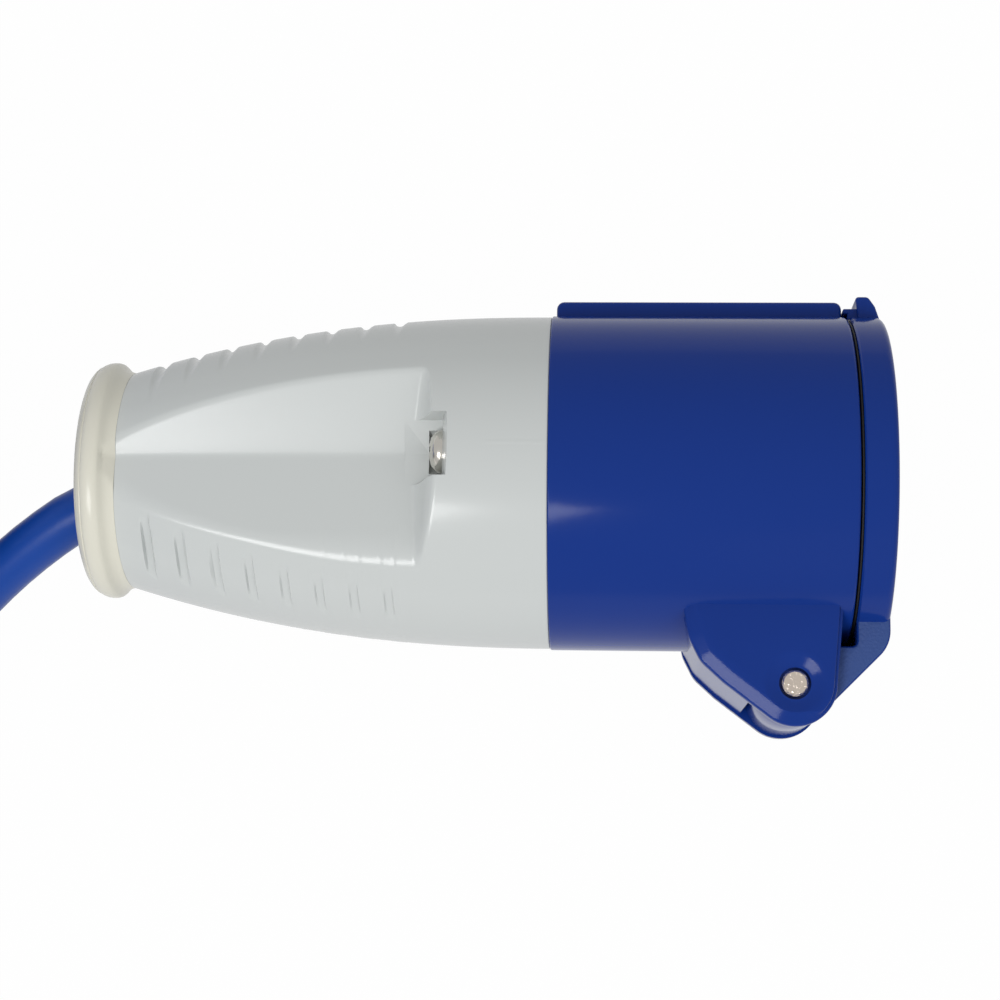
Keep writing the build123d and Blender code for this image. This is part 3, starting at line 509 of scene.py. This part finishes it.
# ---------------------------------------------------------------- housings
def body_shell(name, mouth, mouth_radii, wall_radius):
    """A housing's turned shell; mouth is its outline from the outer face in to the inner wall."""
    points = [(-SPIGOT_LENGTH, SPIGOT_BORE_R), (-SPIGOT_LENGTH, SPIGOT_R), (0.0, SPIGOT_R),
              (0.0, BODY_R), *mouth, (WALL_FRONT, WALL_BORE_R), (WALL_REAR, WALL_BORE_R),
              (WALL_REAR, SPIGOT_BORE_R)]
    return lathe(name, rounded(points, [0.0, 0.4, 0.0, 0.25, *mouth_radii, wall_radius, 0.2, 0.0]))


# Edge of a hinge lug as (inset, z), from inside the lug over its rounded shoulder to its face.
LUG_RIM = 0.45
LUG_EDGE = [(0.0, 13.4), (0.0, 15.3), (0.1, 15.52), (0.26, 15.64), (LUG_RIM, 15.7), (1.3, 15.98),
            (1.9, 16.2), (2.4, 16.33), (3.0, 16.39), (3.6, 16.4)]


def lug_points(root):
    """Side view of a hinge lug, round the hinge and up to its root's height on both sides."""
    rear, front = (HINGE_X - 10.9, HINGE_Y + 0.1), (HINGE_X + 8.1, LID_ROOT_Y)
    hinge = (HINGE_X, HINGE_Y)
    low, high = tangent_point(rear, hinge, LUG_TIP_R, 1), tangent_point(front, hinge, LUG_TIP_R, -1)
    start, end = (degrees(atan2(y - HINGE_Y, x - HINGE_X)) for x, y in (low, high))
    heel = rounded([(HINGE_X - 18.2, root), (HINGE_X - 16.2, -26.8), (HINGE_X - 14.4, -30.4), rear],
                   [0, 5.0, 5.0, 0], 5, closed=False)
    tip = arc(HINGE_X, HINGE_Y, LUG_TIP_R, start, end if end > start else end + 360, 30)
    return heel + tip + [(front[0], root)]


def lug_mesh(side):
    """A lug on one flank; its shoulder is steeper at the root and towards the lid."""
    points = lug_points(-15.0)
    shares = [0.1 if y > -20 else float(1 - 0.9 * soft_step(HINGE_X + 1.0, HINGE_X + 5.0, x))
              for x, y in points]
    lug = edged_plate("lug", points, LUG_EDGE, LUG_RIM, shares)
    if side < 0:
        placed(lug, Matrix.Scale(-1, 4, (0, 0, 1)))
        lug.data.flip_normals()
    return lug


def hinge_web():
    """Solid between the lugs, behind the lid's arm."""
    web = prism("web", lug_points(LID_ROOT_Y), -13.6, 13.6)
    combine(web, [rounded_box("keep", -10, HINGE_X - 6.8, -60, 0, -20, 20)], "INTERSECT")
    return placed(web, Matrix.Translation((0, 0.5, 0)))


def pin_recesses():
    """A shallow dish round each end of the pin, with the pin's own sink in its middle."""
    dish = [(15.6, 0.0), (15.6, 2.6), (15.68, 2.9), (15.95, 3.6), (16.2, 4.3), (16.33, 4.7),
            (16.4, 5.2), (18.0, 5.4), (18.0, 0.0)]
    sink = [(14.3, 0.0), (14.3, 2.45), (20.0, 2.45), (20.0, 0.0)]
    tools = []
    for turn in (-pi / 2, pi / 2):
        at_hinge = Matrix.Translation((HINGE_X, HINGE_Y, 0)) @ Matrix.Rotation(turn, 4, "Y")
        tools += [placed(lathe("dish", dish, 96), at_hinge), placed(lathe("sink", sink, 64), at_hinge)]
    return tools


def coupler_housing_mesh():
    mouth = [(BODY_LENGTH, BODY_R), (BODY_LENGTH, MOUTH_R), (WALL_FRONT, MOUTH_R)]
    housing = body_shell("coupler_body", mouth, [0.5, 0.35, 0.6], 0.2)
    rib = placed(rounded_box("rib", 0.6, 46.8, -29.4, -24.6, -5.0, 5.0, 1.2, 0.8),
                 Matrix.Rotation(pi, 4, "X"))
    combine(rib, [lug_mesh(1), lug_mesh(-1), hinge_web()], "UNION")
    # what stands outside the wall must not reach into the bore
    combine(rib, [lathe("core", [(-30, 0), (-30, 25.0), (60, 25.0), (60, 0)])], "DIFFERENCE")
    combine(housing, [rib], "UNION")
    keyway = rounded_box("keyway", WALL_FRONT, 50.0, 0.0, 26.6, -3.9, 3.9)
    pin_hole = prism("pin_hole", circle(HINGE_X, HINGE_Y, PIN_R + 0.01), -30, 30)
    return combine(housing, [keyway, pin_hole, *pin_recesses()], "DIFFERENCE")


def plug_housing_mesh():
    collar, nose, nose_r, bore_r = 11.0, 46.0, 22.3, 18.6
    mouth = [(8.0, BODY_R), (collar, 23.7), (collar, nose_r), (nose, nose_r), (nose, bore_r),
             (WALL_FRONT, bore_r)]
    shell = body_shell("plug_body", mouth, [1.2, 0.6, 0.6, 0.7, 0.5, 0.2], 0.1)
    key = placed(rounded_box("key", 10.5, 43.5, -25.6, -21.3, -3.5, 3.5, 1.0, 0.8),
                 Matrix.Rotation(pi, 4, "X"))
    return combine(shell, [key], "UNION")


# ---------------------------------------------------------------- lid
def seat_tool():
    """The lid's hollow inside its rim, which the arm and the catch leave free."""
    return lathe("seat", [(40.0, 0), (40.0, LID_RIM_R), (LID_SEAT, LID_RIM_R), (LID_SEAT, 0)])


def lid_plate(name):
    """The lid's disc with a groove for the gasket, a rounded rim and a slightly domed face."""
    dome_r, dome_rise, rim_x, rim_r = 26.0, 0.7, 51.8, 1.1
    profile = [(50.5, 0.0), (50.5, 19.6), (LID_REAR, 19.6), (LID_REAR, 20.75), (LID_SEAT, 20.75),
               (LID_SEAT, LID_RIM_R), (LID_REAR, LID_RIM_R), (LID_REAR, 26.8), (LID_REAR + 0.3, 27.1)]
    profile += [(rim_x + rim_r * sin(radians(a)), dome_r + rim_r * cos(radians(a)))
                for a in range(0, 91, 15)]
    profile += [(LID_EDGE + dome_rise * (1 - (r / dome_r) ** 2), r) for r in (22.0, 17.0, 11.0, 5.0, 0.0)]
    return lathe(name, profile)


def lid_arm():
    """From the hinge's knuckle to the disc, with room for the spring and a hole for the pin."""
    knuckle_r, spring_r, spring_half = 6.1, 4.6, 7.3
    reach = knuckle_r / sqrt(2)
    corner_y = LID_EDGE - (HINGE_X + reach) + (HINGE_Y - reach)
    front = rounded([(HINGE_X + reach, HINGE_Y - reach), (LID_EDGE, corner_y), (LID_EDGE, LID_ROOT_Y)],
                    [0, 5.5, 0], 8, closed=False)
    rear = rounded([(LID_REAR, LID_ROOT_Y), (LID_REAR, HINGE_Y + knuckle_r),
                    (HINGE_X, HINGE_Y + knuckle_r)], [0, 0.8, 0], closed=False)
    outline = arc(HINGE_X, HINGE_Y, knuckle_r, 90, 315, 40) + front[1:] + rear[:-1]
    arm = prism("arm", outline, -ARM_HALF, ARM_HALF, 0.5)
    room = prism("room", circle(HINGE_X, HINGE_Y, spring_r), -spring_half, spring_half)
    way = rounded_box("way", HINGE_X - 20, HINGE_X + 1.0, HINGE_Y - 0.5, HINGE_Y + 10,
                      -spring_half, spring_half)
    hole = prism("hole", circle(HINGE_X, HINGE_Y, PIN_R + 0.06), -40, 40)
    return combine(arm, [seat_tool(), room, way, hole], "DIFFERENCE")


def lid_catch():
    """On the key side: a tab that stands out from the lid, and a hook back over the body's rim."""
    latch = rounded_box("latch", LID_REAR, LID_REAR + 3.1, 24.0, 28.2, -5.0, 5.0, 0.3, 0.3)
    hook = rounded_box("hook", 47.0, LID_REAR + 2.0, 27.35, 28.2, -5.0, 5.0, 0.25, 0.25)
    side = rounded([(LID_EDGE - 0.1, 24.0), (49.3, 24.0), (49.3, 27.0), (48.9, 30.0),
                    (LID_EDGE - 1.9, 30.0), (LID_EDGE - 0.8, 28.4), (LID_EDGE - 0.15, 26.4)],
                   [0, 0, 0.6, 0.5, 0.9, 1.2, 1.0], 5)
    combine(latch, [hook, prism("tab", side, -6.0, 6.0, 0.5)], "UNION")
    return combine(latch, [seat_tool()], "DIFFERENCE")


def coupler_lid_mesh():
    return combine(lid_plate("coupler_lid_shell"), [lid_arm(), lid_catch()], "UNION")


def grain_arm_sides(shell):
    """A second, grained material on the flat sides of the lid's arm."""
    shell.data.materials.append(BLUE_GRAIN)
    for polygon in shell.data.polygons:
        middle = polygon.center / MM - COUPLER.translation
        on_arm = middle.y < LID_ROOT_Y - 0.5 and abs(middle.z) < ARM_HALF + 0.1
        if on_arm and abs(polygon.normal.z) > 0.9:
            polygon.material_index = 1


def gasket_mesh(name):
    profile = rounded([(47.35, 21.4), (47.35, 26.5), (47.66, 26.5), (47.66, 25.4), (LID_SEAT, 25.4),
                       (LID_SEAT, 20.8), (48.3, 20.8)], [0.6, 0.1, 0.1, 0.0, 0.1, 0.1, 0.3])
    return lathe(name, profile)


# ---------------------------------------------------------------- pieces
def build_rear(prefix, place, turn):
    """Handle, entry ring and body screws of one connector, turned about its axis."""
    spin = place @ Matrix.Rotation(turn, 4, "X")
    finish_piece(handle_mesh(prefix + "handle_shell"), spin, WHITE, "lead",
                 prefix + "handle", sharp=40.0)
    finish_piece(entry_ring_mesh(prefix + "entry_bush"), spin, CREAM, "lead",
                 prefix + "entry_ring")
    finish_piece(body_screws_mesh(prefix + "screws"), spin, NICKEL, "lead",
                 prefix + "body_screws")


build_rear("coupler_", COUPLER, HANDLE_TURN)
finish_piece(coupler_housing_mesh(), COUPLER, BLUE, "lead", "coupler_housing")
grain_arm_sides(finish_piece(coupler_lid_mesh(), COUPLER, BLUE, "lid", "coupler_lid"))
finish_piece(gasket_mesh("gasket"), COUPLER, BLACK, "lid", "lid_gasket")
build_rear("plug_", PLUG, 0.0)
finish_piece(plug_housing_mesh(), PLUG, BLUE, "lead", "plug_housing")

# Pieces that are shown as the CAD made them.
KEPT = {
    "lid_hinge_pin": STEEL, "lid_spring": WIRE, "coupler_contact_carrier": DARK,
    "coupler_contact_line": BRASS, "coupler_contact_neutral": BRASS, "coupler_contact_earth": BRASS,
    "plug_pin_carrier": DARK, "plug_pin_line": NICKEL, "plug_pin_neutral": NICKEL,
    "plug_pin_earth": NICKEL,
}
for prefix in ("coupler_", "plug_"):
    KEPT.update({
        prefix + "body_seal": BLACK, prefix + "cord_seal": BLACK, prefix + "cord_grip_bar": WHITE,
        prefix + "cord_grip_screws": NICKEL, prefix + "terminal_screws": NICKEL,
        prefix + "core_line": BROWN, prefix + "core_neutral": CORE_BLUE, prefix + "core_earth": GREEN,
    })
for node, material in KEPT.items():
    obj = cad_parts[node]
    obj.data.materials.clear()
    obj.data.materials.append(material)


# ---------------------------------------------------------------- cord
LEAD = [(-32.15, 5.1, 27.2), (-59.2, 5.1, 27.2), (-80.8, -7.0, 19.2), (-100.3, -24.1, 4.5),
        (-119.75, -39.5, 4.5)]
COIL_TURNS, COIL_LAYERS, COIL_R, COIL_PITCH = 3, 4, 64.0, 9.25
COIL_START, COIL_FLOOR, COIL_SWELL = 8.8, 4.5, 1.4
LEAVE_R, LEAVE_DEG = 72.0, 38.4
TAIL = [(-152.61150, 70.94164, 32.25), (-130.61150, 70.94164, 32.25), (-98.27572, 57.54772, 37.11),
        (-81.77683, 26.68047, 46.83), (-88.60499, -7.64701, 57.522), (-115.66036, -29.85078, 64.65)]


def coil_half_turns():
    """Radius and layer at each half turn: layers run inwards and outwards in turn."""
    half_turns = []
    for layer in range(COIL_LAYERS):
        radii = [COIL_R - k * COIL_PITCH / 2 for k in range(2 * COIL_TURNS + 1)]
        # where the cord climbs to the next layer it lies a little past the turns beside it
        radii[-1] -= COIL_SWELL
        if layer in (1, 2):
            radii[0] += COIL_SWELL
        if layer % 2:
            radii.reverse()
        half_turns += [(r, layer) for r in radii]
    return half_turns


def cord_points():
    """From the coupler by the lead into the coil, round it, and out by the tail to the plug."""
    start = Vector(LEAD[-1])
    heading = (start - Vector(LEAD[-2])).normalized()
    outward = Matrix.Rotation(pi / 2, 3, "Z") @ heading
    centre = start + heading * COIL_START - outward * COIL_R
    first = atan2(outward.y, outward.x)
    points = [Vector(p) for p in LEAD[:-1]]
    steps = 8
    half_turns = coil_half_turns()
    for half, ((here, layer), (there, next_layer)) in enumerate(zip(half_turns, half_turns[1:])):
        for k in range(steps):
            t = k / steps
            rise = soft_step(0.0, 1.0, t) if next_layer != layer else 0.0
            # a spline of this order touches its polygon's sides, so the corners stand further out
            r = (here + (there - here) * t) / cos(pi / (2 * steps))
            a = first - pi * (half + t)
            points.append(Vector((centre.x + r * cos(a), centre.y + r * sin(a),
                                  COIL_FLOOR + (layer + rise) * COIL_PITCH)))
    spin = first - pi * (len(half_turns) - 1)
    leave = centre + Vector((cos(spin), sin(spin), 0)) * (half_turns[-1][0] - LEAVE_R)
    step = radians(LEAVE_DEG) / 2
    for k in range(3):
        r, a = LEAVE_R / cos(step / 2), spin - k * step
        points.append(Vector((leave.x + r * cos(a), leave.y + r * sin(a), TAIL[0][2])))
    return points + [Vector(p) for p in TAIL + [PLUG_ENTRY]]


def cord_curve():
    data = bpy.data.curves.new("cord", "CURVE")
    data.dimensions = "3D"
    data.bevel_depth = CORD_R * MM
    data.bevel_resolution = 6
    data.resolution_u = 6
    data.use_fill_caps = True
    points = cord_points()
    line = data.splines.new("NURBS")
    line.points.add(len(points) - 1)
    for point, place in zip(line.points, points):
        point.co = (*(place * MM), 1.0)
    line.order_u = 3
    line.use_endpoint_u = True
    data.materials.append(SHEATH)
    return new_object("power_cord", data)


cord = cord_curve()
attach(cord, "lead")
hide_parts("cord_lead", "cord_coil", "cord_tail")


# ---------------------------------------------------------------- floor, light and camera
def math_node(tree, operation, first, second):
    """A math node's output; second is a socket or a number."""
    node = tree.nodes.new("ShaderNodeMath")
    node.operation = operation
    tree.links.new(first, node.inputs[0])
    if isinstance(second, float):
        node.inputs[1].default_value = second
    else:
        tree.links.new(second, node.inputs[1])
    return node.outputs[0]


def floor_material():
    """White to the camera and, by a lesser share, in reflections; otherwise plain and diffuse."""
    camera_share, mirror_share, grey = 0.985, 0.6, 0.62
    material = bpy.data.materials.new("floor_white")
    material.use_nodes = True
    tree = material.node_tree
    tree.nodes.clear()
    diffuse = tree.nodes.new("ShaderNodeBsdfDiffuse")
    diffuse.inputs["Color"].default_value = (grey, grey, grey, 1)
    white = tree.nodes.new("ShaderNodeEmission")
    white.inputs["Strength"].default_value = 1.0
    path = tree.nodes.new("ShaderNodeLightPath")
    seen = path.outputs["Is Camera Ray"]
    for ray in ("Is Glossy Ray", "Is Transmission Ray"):
        mirrored = math_node(tree, "MULTIPLY", path.outputs[ray], mirror_share)
        seen = math_node(tree, "MAXIMUM", seen, mirrored)
    mix = tree.nodes.new("ShaderNodeMixShader")
    tree.links.new(math_node(tree, "MULTIPLY", seen, camera_share), mix.inputs["Fac"])
    tree.links.new(diffuse.outputs["BSDF"], mix.inputs[1])
    tree.links.new(white.outputs["Emission"], mix.inputs[2])
    out = tree.nodes.new("ShaderNodeOutputMaterial")
    tree.links.new(mix.outputs["Shader"], out.inputs["Surface"])
    return material


def studio_world(strength):
    world = bpy.data.worlds.new("studio")
    world.use_nodes = True
    background = world.node_tree.nodes["Background"]
    background.inputs["Color"].default_value = (1.0, 1.0, 1.0, 1)
    background.inputs["Strength"].default_value = strength
    return world


def area_light(name, place, size, power, in_reflections):
    """A rectangular lamp that looks at the coupler."""
    data = bpy.data.lights.new(name, "AREA")
    data.shape = "RECTANGLE"
    data.size, data.size_y = size
    data.energy = power
    lamp = new_object(name, data)
    lamp.location = place
    toward = Vector((0, 0, 0.03)) - Vector(place)
    lamp.rotation_euler = toward.to_track_quat("-Z", "Y").to_euler()
    lamp.visible_glossy = in_reflections


def photo_camera():
    """The photograph's view: from above, leaning to the coupler's hinge side, and slightly rolled."""
    away, tilt, roll = 350.0, radians(10.0), radians(0.9)
    data = bpy.data.cameras.new("camera")
    data.lens = 77.1
    data.sensor_width = 36.0
    data.clip_start = 0.01
    camera = new_object("camera", data)
    target = Vector((2.15, 5.1, BODY_R)) - 2.78 * Vector((0, cos(tilt), sin(tilt)))
    toward = Vector((18.0, -away * sin(tilt), away * cos(tilt)))
    back = toward.normalized()
    right = Vector((0, 1, 0)).cross(back).normalized()
    look = Matrix((right, back.cross(right), back)).transposed()
    camera.matrix_world = (Matrix.Translation((target + toward) * MM) @ look.to_4x4()
                           @ Matrix.Rotation(roll, 4, "Z"))
    return camera


floor = prism("floor", [(-4, -4), (4, -4), (4, 4), (-4, 4)], -0.02, -0.0002)
floor.data.materials.append(floor_material())

bpy.context.scene.world = studio_world(0.55)
area_light("key", (-0.37, -0.45, 0.85), (0.4, 0.33), 3.6, in_reflections=True)
area_light("fill", (0.5, -0.75, 0.6), (0.9, 0.6), 1.9, in_reflections=False)
bpy.context.scene.camera = photo_camera()
bpy.context.scene.view_settings.view_transform = "Standard"
